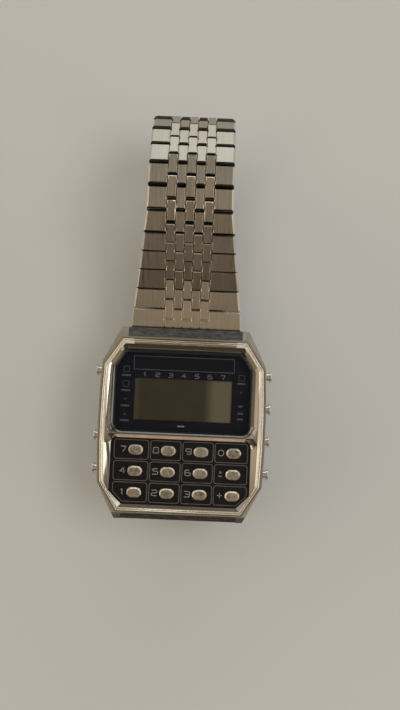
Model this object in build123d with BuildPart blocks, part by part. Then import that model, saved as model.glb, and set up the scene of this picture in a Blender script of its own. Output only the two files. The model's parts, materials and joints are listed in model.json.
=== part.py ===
from build123d import *
from math import asin, cos, degrees, radians, sin
import os

# Calculator watch with a steel brick bracelet, lying with its clasp flat on a surface.
# Millimetres. +Z up, +Y towards the twelve o'clock side, +X to the wearer's right.
# The origin is the middle of the clasp cover's flat outer face.

# case sizes, in the head's own frame: middle of the head, z = 0 at the case back's outer face
case_half_width = 17.6
case_bow_depth = 0.4
case_reach = 20.5
case_corner = 7.6
mid_height = 6.3
side_wall = 2.2
seat_ledge = 1.0
upper_ledge = 0.55
lower_ledge = 0.25
cavity_corner = 2.4
recess_wall = 0.45
recess_corner = 3.0
back_thickness = 0.9
back_clear = 0.05
back_edge_break = 0.3
notch_width = 2.4
notch_depth = 0.35
gasket_inset = 0.2
gasket_width = 0.5
gasket_height = 0.4

# strap ends between the lugs
bar_inset = 1.6
bar_z = 3.0
bar_r = 0.7
bar_tip_r = 0.4
bar_tip_length = 0.8
bar_clear = 0.06
lug_shoulder = 5.3
lug_width = 1.4
lug_play = 0.2
lug_gap = 0.7
lug_roof_z = 5.4
roof_edge = 0.25
lug_under_rise = 1.7
horn_run = 1.2
horn_drop = 0.25
case_edge_break = 0.5

# front frame
frame_inset = 0.1
frame_bow_depth = 0.4
frame_corner_width = 4.0
frame_upper_corner = 6.0
frame_lower_corner = 6.3
upper_strip = 2.1
lower_strip = 1.3
frame_tier = 0.6
frame_setback = 0.3
frame_height = 2.3
frame_slope_run = 1.35
bevel_run = 1.35
bevel_drop = 0.8
seat_width = 0.6
seat_height = 0.65
seat_clear = 0.05

# display: opening in the frame, glass, mask and cell
display_rim = 2.8
display_top_rim = 3.0
divider_width = 1.25
display_cut_x = 2.2
display_cut_y = 3.6
display_low_r = 2.0
display_top_r = 1.2
glass_rise = 0.35
glass_bevel = 0.45
window_side_rim = 4.25
window_top_rim = 5.85
window_low_rim = 2.6
mask_thickness = 0.28
cell_side_gap = 1.3
cell_end_border = 1.15
cell_ledge = 1.2
cell_thickness = 1.45

# keypad: opening, plate and keys
keypad_rim = 2.6
keypad_low_rim = 2.0
keypad_height = 14.0
keypad_cut = 2.7
keypad_top_r = 1.3
plate_rise = 0.45
key_length = 3.1
key_width = 2.1
key_clear = 0.08
key_pitch_y = 4.5
key_left_gap = 5.4
key_right_gap = 3.61
key_upper_gap = 2.5
key_columns = 4
key_rows = 3
key_rise = 0.85
key_flange = 0.25
key_flange_height = 0.33
key_play = 0.05
key_edge_break = 0.28
mat_height = 0.95
mat_break = 0.3

# movement under the display and keypad
module_side_gap = 1.5
module_end_gap = 0.3
module_corner = 3.4
module_bottom_z = 1.35
module_top_z = 5.4
module_wall = 0.6
module_floor = 0.9
battery_r = 10.0
battery_height = 1.6
battery_end_gap = 3.0
pocket_clear = 0.1
board_thickness = 0.6

# side pushers
pusher_r = 0.93
pusher_reach = 1.1
pusher_z = 3.3
pusher_clear = 0.05
pusher_edge_break = 0.28
pusher_play = 0.3
pusher_collar_r = 1.3
pusher_collar = 0.45
pusher_right_shares = (0.845, 0.2946, -0.2481, -0.7984)
pusher_left_shares = (0.845, -0.2481, -0.7984)

# sides of small rounds, few because they repeat so often
hinge_sides = 6
pin_sides = 8
bore_sides = 12
barrel_sides = 16
key_end_sides = 8
battery_sides = 36

# bracelet
row_pitch = 4.5
end_row_length = 7.67
column = 1.9
column_gap = 0.12
row_gap = 0.3
outer_depth = 1.2
inner_depth = 0.8
groove = 0.45
brick_break = 0.15
strap_half_clasp = 8.65
taper_rows = 6.2
hinge_pin_r = 0.4
hinge_clear = 0.03
pin_bite = 0.2
pin_height = 1.35

# angle of each row above the horizon, walking away from the case
upper_angles = (
    20.2, 23, 31.5, 40, 44, 27.5, 8.5, -10.5, -25, -34, -50, -70, -89, -108, -127, -146, -163, -175,
)
lower_first_angle = -100
lower_angles = (-25.5, -5, -2.5, -1.2, -0.5)

# clasp
cover_sheet = 0.55
cover_height = 2.9
cover_clear = 0.2
cover_edge_break = 0.3
end_bar = 1.2
blade_width = 8.6
blade_sheet = 0.6
outer_blade_z = 0.8
inner_blade_z = 1.95
cover_hinge_z = 1.2
cover_hinge_y = 1.5
cover_barrel_r = 0.62
blade_hinge_z = 1.68
blade_barrel_r = 0.72
blade_barrel_width = 3.6
blade_hinge_back = 1.1
clasp_pin_r = 0.34
end_piece = 2.0

# case places that follow from its reach and walls
case_side_end = case_reach - case_corner
lug_inner = case_half_width - lug_shoulder
case_end_half = lug_inner + lug_width
strap_half_case = lug_inner - lug_play
bar_y = case_reach - bar_inset
lug_wall_y = bar_y - outer_depth - lug_gap
recess_reach = lug_wall_y - recess_wall
cavity_half_width = case_half_width - side_wall
recess_half_width = cavity_half_width + seat_ledge
cavity_top_y = recess_reach - upper_ledge
cavity_low_y = recess_reach - lower_ledge
module_half_width = cavity_half_width - module_side_gap
module_top_y = cavity_top_y - module_end_gap
module_low_y = cavity_low_y - module_end_gap
cell_width = 2 * (module_half_width - module_wall - cell_side_gap)
pusher_inner_x = cavity_half_width - pusher_play - pusher_collar
pusher_end_x = case_half_width + case_bow_depth + pusher_reach
pusher_right_y = [share * case_side_end for share in pusher_right_shares]
pusher_left_y = [share * case_side_end for share in pusher_left_shares]
battery_y = battery_r + battery_end_gap - module_low_y

# frame, display and keypad places that follow from the case
frame_half_width = case_half_width - frame_inset
frame_end_half = frame_half_width - frame_corner_width
frame_top_y = case_reach - upper_strip
frame_low_y = case_reach - lower_strip
frame_side_top = frame_top_y - frame_upper_corner
frame_side_low = frame_low_y - frame_lower_corner
keypad_half_width = frame_half_width - keypad_rim
keypad_low_y = keypad_low_rim - frame_low_y
keypad_top_y = keypad_low_y + keypad_height
display_half_width = frame_half_width - display_rim
display_low_y = keypad_top_y + divider_width
display_top_y = frame_top_y - display_top_rim
window_width = 2 * (display_half_width - window_side_rim)
window_height = display_top_y - window_top_rim - display_low_y - window_low_rim
window_y = (display_top_y - window_top_rim + display_low_y + window_low_rim) / 2
cell_height = window_height + 2 * cell_end_border
key_first_x = key_left_gap - keypad_half_width
key_first_y = keypad_top_y - key_upper_gap
key_pitch_x = (2 * keypad_half_width - key_left_gap - key_right_gap) / (key_columns - 1)


# pins of the two strap halves, in the head's frame
def walk(start_y, lengths, angles):
    pins = [(start_y, bar_z)]
    for length, angle in zip(lengths, angles):
        y, z = pins[-1]
        pins.append((y + length * cos(radians(angle)), z + length * sin(radians(angle))))
    return pins


def row_lengths(angles):
    return [end_row_length] + [row_pitch for angle in angles[1:]]


upper_pins = walk(bar_y, row_lengths(upper_angles), upper_angles)
upper_end_y, upper_end_z = upper_pins[-1]
lower_known = -end_row_length * sin(radians(lower_first_angle))
lower_known -= sum(row_pitch * sin(radians(angle)) for angle in lower_angles)
lower_second_angle = -degrees(asin((bar_z - upper_end_z - lower_known) / row_pitch))
lower_all_angles = (lower_first_angle, lower_second_angle) + lower_angles
lower_pins = walk(-bar_y, row_lengths(lower_all_angles), lower_all_angles)
lower_end_y, lower_end_z = lower_pins[-1]

# places that follow: the brick ends, the head's height and its distance from the clasp
brick_near = -row_pitch / 4 + row_gap / 2
brick_far = 3 * row_pitch / 4 - row_gap / 2
tip = row_pitch / 4 - row_gap / 2
wall = row_pitch / 4 + row_gap / 2
back_z = pin_height - lower_end_z
cover_low_in_head = lower_end_y + end_piece + cover_clear
cover_high_in_head = upper_end_y - wall
head_y = -(cover_low_in_head + cover_high_in_head) / 2
clasp_low = lower_end_y + head_y
clasp_high = upper_end_y + head_y
cover_half = (cover_high_in_head - cover_low_in_head) / 2
strap_thickness = outer_depth + inner_depth
wide_edge = 2.5 * column + column_gap / 2
frame_top_z = mid_height + frame_height
seat_top_z = mid_height + seat_height
opening_edge_z = frame_top_z - bevel_drop
window_sheet_z = mid_height - mask_thickness
plate_top_z = seat_top_z + plate_rise
flange_base_z = mid_height + seat_clear
board_z = module_bottom_z + battery_height + module_floor
mat_z = board_z + board_thickness + seat_clear
cover_hinge_place = -cover_half + cover_hinge_y
blade_hinge_place = cover_half - end_bar - cover_clear - blade_hinge_back

os.makedirs("parts", exist_ok=True)


def level(z):
    return Plane((0, head_y, back_z + z))


def across(x):
    return Plane((x, head_y, back_z), x_dir=(0, 1, 0), z_dir=(1, 0, 0))


def save(shape, name):
    shape.label = name
    export_step(shape, "parts/" + name + ".step")


# the case plan: straight ends and corners, with gently bowed sides
def bowed_octagon(half_width, bow_depth, side_top, side_low, end_half, top_y, low_y):
    widest = (side_top - side_low) / 2
    bowed = half_width + bow_depth
    with BuildLine() as outline:
        Polyline(
            (-half_width, side_top), (-end_half, top_y),
            (end_half, top_y), (half_width, side_top),
        )
        ThreePointArc((half_width, side_top), (bowed, widest), (half_width, -side_low))
        Polyline(
            (half_width, -side_low), (end_half, -low_y),
            (-end_half, -low_y), (-half_width, -side_low),
        )
        ThreePointArc((-half_width, -side_low), (-bowed, widest), (-half_width, side_top))
    make_face(outline.line)


def frame_plan():
    bowed_octagon(
        frame_half_width, frame_bow_depth, frame_side_top, frame_side_low,
        frame_end_half, frame_top_y, frame_low_y,
    )


def cut_rectangle(half_width, top_y, low_y, corner):
    with BuildLine() as outline:
        Polyline(
            (half_width, top_y - corner), (half_width - corner, top_y),
            (corner - half_width, top_y), (-half_width, top_y - corner),
            (-half_width, corner - low_y), (corner - half_width, -low_y),
            (half_width - corner, -low_y), (half_width, corner - low_y), close=True,
        )
    make_face(outline.line)


# display opening: cut upper corners, round lower ones; grow widens it all round
def display_plan(grow=0.0, rounded=True):
    half = display_half_width + grow
    top = display_top_y + grow
    low = display_low_y - grow
    with BuildSketch(Plane.XY) as plan:
        with BuildLine():
            Polyline(
                (-half, low), (half, low), (half, top - display_cut_y), (half - display_cut_x, top),
                (display_cut_x - half, top), (-half, top - display_cut_y), close=True,
            )
        make_face()
        if rounded:
            fillet(plan.vertices().group_by(Axis.Y)[0], radius=display_low_r + grow)
            fillet(plan.vertices().group_by(Axis.Y)[-1], radius=display_top_r + grow)
    return plan.sketch


# keypad opening: cut lower corners, round upper ones
def keypad_plan(grow=0.0, rounded=True):
    half = keypad_half_width + grow
    top = keypad_top_y + grow
    low = keypad_low_y - grow
    with BuildSketch(Plane.XY) as plan:
        with BuildLine():
            Polyline(
                (-half, top), (half, top), (half, low + keypad_cut), (half - keypad_cut, low),
                (keypad_cut - half, low), (-half, low + keypad_cut), close=True,
            )
        make_face()
        if rounded:
            fillet(plan.vertices().group_by(Axis.Y)[-1], radius=keypad_top_r + grow)
    return plan.sketch


# a wedge cut across the case, drawn in side view
def side_wedge(half_width, *points):
    with BuildSketch(across(0)) as wedge:
        with BuildLine():
            Polyline(*points, close=True)
        make_face()
    extrude(wedge.sketch, amount=half_width, both=True, mode=Mode.SUBTRACT)


# mid case with its four lugs, pusher bores, module cavity and back recess
with BuildPart() as mid_case:
    with BuildSketch(level(0)):
        bowed_octagon(
            case_half_width, case_bow_depth, case_side_end, case_side_end,
            case_end_half, case_reach, case_reach,
        )
    extrude(amount=mid_height)
    outer_low_edges = mid_case.edges().group_by(Axis.Z)[0]
    chamfer(outer_low_edges, length=case_edge_break)
    for end in (1, -1):
        with BuildSketch(level(0)):
            with Locations((0, end * (lug_wall_y + case_reach) / 2)):
                Rectangle(2 * lug_inner, case_reach - lug_wall_y)
        extrude(amount=lug_roof_z, mode=Mode.SUBTRACT)
        strip_start = frame_top_y if end > 0 else frame_low_y
        strip_end = end * case_reach
        side_wedge(
            lug_inner, (end * strip_start, mid_height), (strip_end, mid_height),
            (strip_end, lug_roof_z + roof_edge),
        )
        side_wedge(
            case_reach, (strip_end - end * horn_run, mid_height), (strip_end, mid_height),
            (strip_end, mid_height - horn_drop),
        )
        side_wedge(
            case_reach, (end * lug_wall_y, 0), (strip_end, 0), (strip_end, lug_under_rise),
        )
        for side in (1, -1):
            with BuildSketch(across(side * lug_inner)):
                with Locations((end * bar_y, bar_z)):
                    RegularPolygon(bar_tip_r + bar_clear, pin_sides, major_radius=False)
            extrude(amount=side * (bar_tip_length + bar_clear), mode=Mode.SUBTRACT)
    with BuildSketch(level(back_thickness)):
        cut_rectangle(cavity_half_width, cavity_top_y, cavity_low_y, cavity_corner)
    extrude(amount=mid_height, mode=Mode.SUBTRACT)
    with BuildSketch(level(0)):
        cut_rectangle(recess_half_width, recess_reach, recess_reach, recess_corner)
    extrude(amount=back_thickness, mode=Mode.SUBTRACT)
    with BuildSketch(level(back_thickness)):
        channel_reach = recess_reach - gasket_inset
        cut_rectangle(recess_half_width - gasket_inset, channel_reach, channel_reach, recess_corner)
    extrude(amount=gasket_height, mode=Mode.SUBTRACT)
    for side, places in ((1, pusher_right_y), (-1, pusher_left_y)):
        with BuildSketch(across(side * cavity_half_width)):
            with Locations(*[(y, pusher_z) for y in places]):
                RegularPolygon(pusher_r + pusher_clear, bore_sides, major_radius=False)
        extrude(amount=side * (pusher_end_x - cavity_half_width), mode=Mode.SUBTRACT)
save(mid_case.part, "mid_case")

# front frame: a stepped flange, polished sloping flanks and two bevelled openings
with BuildPart() as front_frame:
    with BuildSketch(level(mid_height)):
        frame_plan()
    extrude(amount=frame_tier)
    with BuildSketch(level(mid_height + frame_tier)):
        frame_plan()
        offset(amount=-frame_setback, kind=Kind.INTERSECTION, mode=Mode.REPLACE)
    with BuildSketch(level(frame_top_z)):
        frame_plan()
        offset(amount=-frame_setback - frame_slope_run, kind=Kind.INTERSECTION, mode=Mode.REPLACE)
    loft(ruled=True)
    for plan in (display_plan, keypad_plan):
        with BuildSketch(level(opening_edge_z)):
            add(plan())
        with BuildSketch(level(frame_top_z)):
            add(plan(bevel_run))
        loft(ruled=True, mode=Mode.SUBTRACT)
        with BuildSketch(level(mid_height)):
            add(plan())
        extrude(amount=frame_height - bevel_drop, mode=Mode.SUBTRACT)
        with BuildSketch(level(mid_height)):
            add(plan(seat_width, rounded=False))
        extrude(amount=seat_height, mode=Mode.SUBTRACT)
save(front_frame.part, "front_frame")

# raised glass with a bevelled rim, on a flange under the frame
with BuildPart() as crystal:
    with BuildSketch(level(flange_base_z)):
        add(display_plan(seat_width - seat_clear, rounded=False))
    extrude(amount=seat_height - 2 * seat_clear)
    with BuildSketch(level(flange_base_z)):
        add(display_plan(-seat_clear))
    extrude(amount=frame_top_z + glass_rise - flange_base_z)
    chamfer(crystal.faces().sort_by(Axis.Z)[-1].edges(), length=glass_bevel)
save(crystal.part, "crystal")

# dark mask behind the glass with the display window
with BuildPart() as display_mask:
    with BuildSketch(level(window_sheet_z)):
        add(display_plan(seat_width - 2 * seat_clear, rounded=False))
        with Locations((0, window_y)):
            Rectangle(window_width, window_height, mode=Mode.SUBTRACT)
    extrude(amount=mask_thickness)
save(display_mask.part, "display_mask")

# liquid crystal cell: two glass sheets, the lower one with a contact ledge
with BuildPart() as lcd_cell:
    with BuildSketch(level(window_sheet_z - cell_thickness)):
        with Locations((0, window_y - cell_ledge / 2)):
            Rectangle(cell_width, cell_height + cell_ledge)
    extrude(amount=cell_thickness / 2)
    with BuildSketch(level(window_sheet_z - cell_thickness / 2)):
        with Locations((0, window_y)):
            Rectangle(cell_width, cell_height)
    extrude(amount=cell_thickness / 2)
save(lcd_cell.part, "lcd_cell")

key_places = [
    (key_first_x + column_number * key_pitch_x, key_first_y - row_number * key_pitch_y)
    for row_number in range(key_rows)
    for column_number in range(key_columns)
]


# obround outline of a key, or of its hole when grown, with facets round both ends
def key_outline(grow=0.0, mode=Mode.ADD):
    half = (key_length - key_width) / 2
    r = key_width / 2 + grow
    turns = [radians(180 * step / key_end_sides) for step in range(key_end_sides + 1)]
    right = [(half + r * sin(turn), r * cos(turn)) for turn in turns]
    left = [(-x, -y) for x, y in right]
    Polygon(*right, *left, align=None, mode=mode)


# keypad plate: a black panel in the lower opening, with one slot for each key
with BuildPart() as keypad_plate:
    with BuildSketch(level(flange_base_z)):
        add(keypad_plan(seat_width - seat_clear, rounded=False))
        with Locations(*key_places):
            key_outline(key_clear, Mode.SUBTRACT)
    extrude(amount=seat_height - 2 * seat_clear)
    with BuildSketch(level(seat_top_z - seat_clear)):
        add(keypad_plan(-seat_clear))
        with Locations(*key_places):
            key_outline(key_clear, Mode.SUBTRACT)
    extrude(amount=plate_rise + seat_clear)
save(keypad_plate.part, "keypad_plate")

# keys: obround caps, each held below the plate by a square flange
for number, (x, y) in enumerate(key_places, start=1):
    flange_z = flange_base_z - key_play - key_flange_height
    with BuildPart() as key:
        with BuildSketch(level(flange_z)):
            with Locations((x, y)):
                Rectangle(key_length + 2 * key_flange, key_width + 2 * key_flange)
        extrude(amount=key_flange_height)
        with BuildSketch(level(flange_z + key_flange_height)):
            with Locations((x, y)):
                key_outline()
        extrude(amount=plate_top_z + key_rise - flange_z - key_flange_height)
        chamfer(key.faces().sort_by(Axis.Z)[-1].edges(), length=key_edge_break)
    save(key.part, f"key_{number:02d}")

# rubber key mat on the circuit board, one break all round
with BuildPart() as key_mat:
    with BuildSketch(level(mat_z)):
        with BuildLine():
            edge = module_half_width - module_wall - pocket_clear
            low = module_low_y - module_wall - pocket_clear
            top = keypad_top_y - seat_width
            Polyline(
                (-edge, top), (edge, top), (edge, module_corner - low),
                (edge - module_corner, -low), (module_corner - edge, -low),
                (-edge, module_corner - low), close=True,
            )
        make_face()
    extrude(amount=mat_height)
    chamfer(key_mat.faces().sort_by(Axis.Z)[-1].edges(), length=mat_break)
save(key_mat.part, "key_mat")

# moulded module frame: open above for board, mat and cell, open below for the battery
with BuildPart() as module_frame:
    with BuildSketch(level(module_bottom_z)):
        cut_rectangle(module_half_width, module_top_y, module_low_y, module_corner)
    extrude(amount=module_top_z - module_bottom_z)
    with BuildSketch(level(board_z)):
        inside = module_half_width - module_wall
        cut_rectangle(inside, module_top_y - module_wall, module_low_y - module_wall, module_corner)
    extrude(amount=module_top_z - board_z, mode=Mode.SUBTRACT)
    with BuildSketch(level(module_bottom_z)):
        with Locations((0, battery_y)):
            RegularPolygon(battery_r + pocket_clear, battery_sides)
    extrude(amount=battery_height, mode=Mode.SUBTRACT)
save(module_frame.part, "module_frame")

with BuildPart() as circuit_board:
    with BuildSketch(level(board_z)):
        inset = module_wall + pocket_clear
        edge = module_half_width - inset
        cut_rectangle(edge, module_top_y - inset, module_low_y - inset, module_corner)
    extrude(amount=board_thickness)
save(circuit_board.part, "circuit_board")

# coin cell
with BuildPart() as battery:
    with BuildSketch(level(module_bottom_z)):
        with Locations((0, battery_y)):
            RegularPolygon(battery_r, battery_sides)
    extrude(amount=battery_height)
save(battery.part, "battery")

# snap-in back with a pry notch at its edge
with BuildPart() as case_back:
    edge = recess_half_width - back_clear
    reach = recess_reach - back_clear
    with BuildSketch(level(0)):
        cut_rectangle(edge, reach, reach, recess_corner)
    extrude(amount=back_thickness)
    chamfer(case_back.faces().sort_by(Axis.Z)[0].edges(), length=back_edge_break)
    with BuildSketch(level(0)):
        with Locations((edge, 0)):
            Rectangle(notch_width, notch_width)
    extrude(amount=notch_depth, mode=Mode.SUBTRACT)
save(case_back.part, "case_back")

with BuildPart() as back_gasket:
    ring_edge = recess_half_width - gasket_inset - back_clear
    ring_reach = recess_reach - gasket_inset - back_clear
    with BuildSketch(level(back_thickness)):
        cut_rectangle(ring_edge, ring_reach, ring_reach, recess_corner)
        offset(amount=-gasket_width, kind=Kind.INTERSECTION, mode=Mode.SUBTRACT)
    extrude(amount=gasket_height - back_clear)
save(back_gasket.part, "back_gasket")

# pushers: round caps on a collar that stops them behind the case wall
pusher_places = [(1, y) for y in pusher_right_y] + [(-1, y) for y in pusher_left_y]
for number, (side, y) in enumerate(pusher_places, start=1):
    with BuildPart() as pusher:
        with BuildSketch(across(side * pusher_inner_x)):
            with Locations((y, pusher_z)):
                RegularPolygon(pusher_collar_r, pin_sides)
        extrude(amount=side * pusher_collar)
        with BuildSketch(across(side * (pusher_inner_x + pusher_collar))):
            with Locations((y, pusher_z)):
                RegularPolygon(pusher_r, barrel_sides)
        extrude(amount=side * (pusher_end_x - pusher_inner_x - pusher_collar))
        chamfer(pusher.faces().sort_by(Axis.X)[-1 if side > 0 else 0].edges(), length=pusher_edge_break)
    save(pusher.part, f"pusher_{number:02d}")

# spring bars: a tube between the lugs with a thin tip at each end
with BuildPart() as spring_bars:
    for end in (1, -1):
        with BuildSketch(across(bar_clear - lug_inner)):
            with Locations((end * bar_y, bar_z)):
                RegularPolygon(bar_r, bore_sides)
        extrude(amount=2 * (lug_inner - bar_clear))
        with BuildSketch(across(-lug_inner - bar_tip_length)):
            with Locations((end * bar_y, bar_z)):
                RegularPolygon(bar_tip_r, pin_sides)
        extrude(amount=2 * (lug_inner + bar_tip_length))
save(spring_bars.part, "spring_bars")


# half the strap's width at a row boundary, counted from the case
def strap_half(boundary):
    share = max(0.0, 1 - boundary / taper_rows)
    return strap_half_clasp + (strap_half_case - strap_half_clasp) * share


# the four outer and even columns, which hold the hinge pin at the near end
def outer_columns(near, far, half_near, half_far):
    length = far - near
    for side in (1, -1):
        with Locations((side * column, (near + far) / 2)):
            Rectangle(column - column_gap, length)
        with BuildLine() as outline:
            Polyline(
                (side * wide_edge, near), (side * half_near, near),
                (side * half_far, far), (side * wide_edge, far), close=True,
            )
        make_face(outline.line)


# the three odd columns
def inner_columns(near, far):
    for number in (-2, 0, 2):
        with Locations((number * column, (near + far) / 2)):
            Rectangle(column - column_gap, far - near)


def break_tops(row):
    chamfer(row.faces().filter_by(Plane.XY).group_by(Axis.Z)[-1].edges(), length=brick_break)


def side_view(x):
    return Plane((x, 0, 0), x_dir=(0, 1, 0), z_dir=(1, 0, 0))


# hinge bore in the middle column at the far end
def hinge_bore(y):
    with BuildSketch(side_view(-column / 2)) as bore:
        with Locations((y, 0)):
            RegularPolygon(hinge_pin_r + hinge_clear, hinge_sides, major_radius=False)
    extrude(bore.sketch, amount=column, mode=Mode.SUBTRACT)


# hinge pin through the middle column's gap, fast in the columns beside it
def hinge_pin(y=0.0, z=0.0):
    with BuildSketch(side_view(-column / 2 - pin_bite)) as pin:
        with Locations((y, z)):
            RegularPolygon(hinge_pin_r, hinge_sides)
    extrude(pin.sketch, amount=column + 2 * pin_bite)


def bridge(near, far, half, height):
    with BuildSketch(Plane.XY.offset(-inner_depth)) as web:
        with Locations((0, (near + far) / 2)):
            Rectangle(2 * half, far - near)
    extrude(web.sketch, amount=height)


# one bracelet row, drawn flat: near pin on the X axis, far pin one pitch along Y, outer face up
def bracelet_row(half_near, half_far):
    with BuildPart() as row:
        with BuildSketch(Plane.XY.offset(-inner_depth)):
            outer_columns(brick_near, brick_far, half_near, half_far)
            inner_columns(brick_near + row_pitch / 2, brick_far + row_pitch / 2)
        extrude(amount=strap_thickness)
        break_tops(row)
        bridge(wall, brick_far, 3 * column, strap_thickness - groove)
        hinge_bore(row_pitch)
        hinge_pin()
    return row.part


# the row at the case: longer, with half bricks beside the lugs and a bored barrel
def end_row(half_near, half_far):
    last = end_row_length - wall
    with BuildPart() as row:
        with BuildSketch(Plane.XY.offset(-inner_depth)):
            outer_columns(0, last, half_near, half_far)
            inner_columns(0, last - row_pitch / 2)
            inner_columns(end_row_length - 3 * row_pitch / 4 + row_gap / 2, end_row_length + tip)
        extrude(amount=strap_thickness)
        break_tops(row)
        bridge(0, last, 3 * column, strap_thickness - groove)
        with BuildSketch(side_view(-half_near)):
            RegularPolygon(outer_depth, barrel_sides, major_radius=False, rotation=180 / barrel_sides)
        extrude(amount=2 * half_near)
        with BuildSketch(side_view(-half_near)):
            RegularPolygon(bar_r + bar_clear, bore_sides, major_radius=False)
        extrude(amount=2 * half_near, mode=Mode.SUBTRACT)
        hinge_bore(end_row_length)
    return row.part


# a row's place: outer face away from the wrist on both halves of the bracelet
def row_plane(y, z, angle, outward):
    normal = (0, -outward * sin(radians(angle)), outward * cos(radians(angle)))
    return Plane((0, y + head_y, z + back_z), x_dir=(outward, 0, 0), z_dir=normal)


def make_strap(name, pins, angles, outward):
    for number, ((y, z), angle) in enumerate(zip(pins, angles)):
        widths = (strap_half(number), strap_half(number + 1))
        row = bracelet_row(*widths) if number else end_row(*widths)
        placed = row.moved(row_plane(y, z, angle, outward).location)
        save(placed, f"{name}_{number + 1:02d}")


make_strap("link_upper", upper_pins, upper_angles, 1)
make_strap("link_lower", lower_pins, lower_all_angles, -1)


def ground(z):
    return Plane((0, 0, z))


def barrel(y, z, radius, half_width, offset_x=0.0):
    with BuildSketch(side_view(offset_x - half_width)) as end:
        with Locations((y, z)):
            RegularPolygon(radius, barrel_sides)
    extrude(end.sketch, amount=2 * half_width)


def clasp_pin(y, z, half_width, clear=0.0, mode=Mode.ADD):
    with BuildSketch(side_view(-half_width)) as pin:
        with Locations((y, z)):
            RegularPolygon(clasp_pin_r + clear, bore_sides, major_radius=clear == 0.0)
    extrude(pin.sketch, amount=2 * half_width, mode=mode)


# clasp end columns: the bracelet's own outer columns, carried on past a pin
def clasp_columns(near, far):
    with BuildSketch(ground(pin_height - outer_depth)) as ends:
        outer_columns(near, far, strap_half_clasp, strap_half_clasp)
    extrude(ends.sketch, amount=strap_thickness)


# inner blade: carries the lower strap half and lies nearest the wrist
with BuildPart() as clasp_inner_blade:
    clasp_columns(clasp_low - tip, clasp_low + end_piece)
    with BuildSketch(ground(pin_height - outer_depth)):
        with Locations((0, clasp_low + (wall + end_piece) / 2)):
            Rectangle(2 * strap_half_clasp, end_piece - wall)
    extrude(amount=strap_thickness)
    hinge_pin(clasp_low, pin_height)
    with BuildSketch(ground(inner_blade_z)):
        with Locations((0, (clasp_low + wall + blade_hinge_place) / 2)):
            Rectangle(blade_width, blade_hinge_place - clasp_low - wall)
    extrude(amount=blade_sheet)
    for side in (1, -1):
        knuckle = (blade_width - blade_barrel_width) / 4
        place = side * (blade_barrel_width / 2 + knuckle)
        barrel(blade_hinge_place, blade_hinge_z, blade_barrel_r, knuckle, place)
    with BuildSketch(ground(inner_blade_z)):
        with Locations((0, blade_hinge_place)):
            Rectangle(blade_barrel_width + 2 * hinge_clear, 2 * (blade_barrel_r + cover_clear))
    extrude(amount=blade_sheet, mode=Mode.SUBTRACT)
    clasp_pin(blade_hinge_place, blade_hinge_z, blade_width / 2)
save(clasp_inner_blade.part, "clasp_inner_blade")

# outer blade: folds between the cover and the inner blade
with BuildPart() as clasp_outer_blade:
    with BuildSketch(ground(outer_blade_z)):
        with Locations((0, (cover_hinge_place + blade_hinge_place) / 2)):
            Rectangle(blade_width, blade_hinge_place - cover_hinge_place)
    extrude(amount=blade_sheet)
    with BuildSketch(ground(outer_blade_z)):
        for side in (1, -1):
            with Locations((side * (blade_width + blade_barrel_width) / 4, blade_hinge_place)):
                Rectangle((blade_width - blade_barrel_width) / 2, 2 * (blade_barrel_r + cover_clear))
    extrude(amount=blade_sheet, mode=Mode.SUBTRACT)
    barrel(blade_hinge_place, blade_hinge_z, blade_barrel_r, blade_barrel_width / 2 - hinge_clear)
    barrel(cover_hinge_place, cover_hinge_z, cover_barrel_r, blade_width / 2)
    clasp_pin(blade_hinge_place, blade_hinge_z, blade_width, hinge_clear, Mode.SUBTRACT)
    clasp_pin(cover_hinge_place, cover_hinge_z, blade_width, hinge_clear, Mode.SUBTRACT)
save(clasp_outer_blade.part, "clasp_outer_blade")

# cover: a folded channel over both blades, with end columns for the upper strap half
with BuildPart() as clasp_cover:
    with BuildSketch(Plane((0, -cover_half, 0), x_dir=(1, 0, 0), z_dir=(0, -1, 0))):
        inside = strap_half_clasp - cover_sheet
        with BuildLine():
            Polyline(
                (-strap_half_clasp, cover_edge_break), (cover_edge_break - strap_half_clasp, 0),
                (strap_half_clasp - cover_edge_break, 0), (strap_half_clasp, cover_edge_break),
                (strap_half_clasp, cover_height), (inside, cover_height), (inside, cover_sheet),
                (-inside, cover_sheet), (-inside, cover_height), (-strap_half_clasp, cover_height),
                close=True,
            )
        make_face()
    extrude(amount=-2 * cover_half)
    with BuildSketch(ground(cover_sheet)):
        with Locations((0, cover_half - end_bar / 2)):
            Rectangle(2 * strap_half_clasp, end_bar)
    extrude(amount=pin_height + inner_depth - cover_sheet)
    clasp_columns(cover_half, clasp_high + tip)
    clasp_pin(cover_hinge_place, cover_hinge_z, strap_half_clasp - cover_sheet / 2)
save(clasp_cover.part, "clasp_cover")
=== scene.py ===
import json
import math

import bmesh
import bpy
from mathutils import Matrix, Vector
from mathutils.geometry import convex_hull_2d


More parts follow.
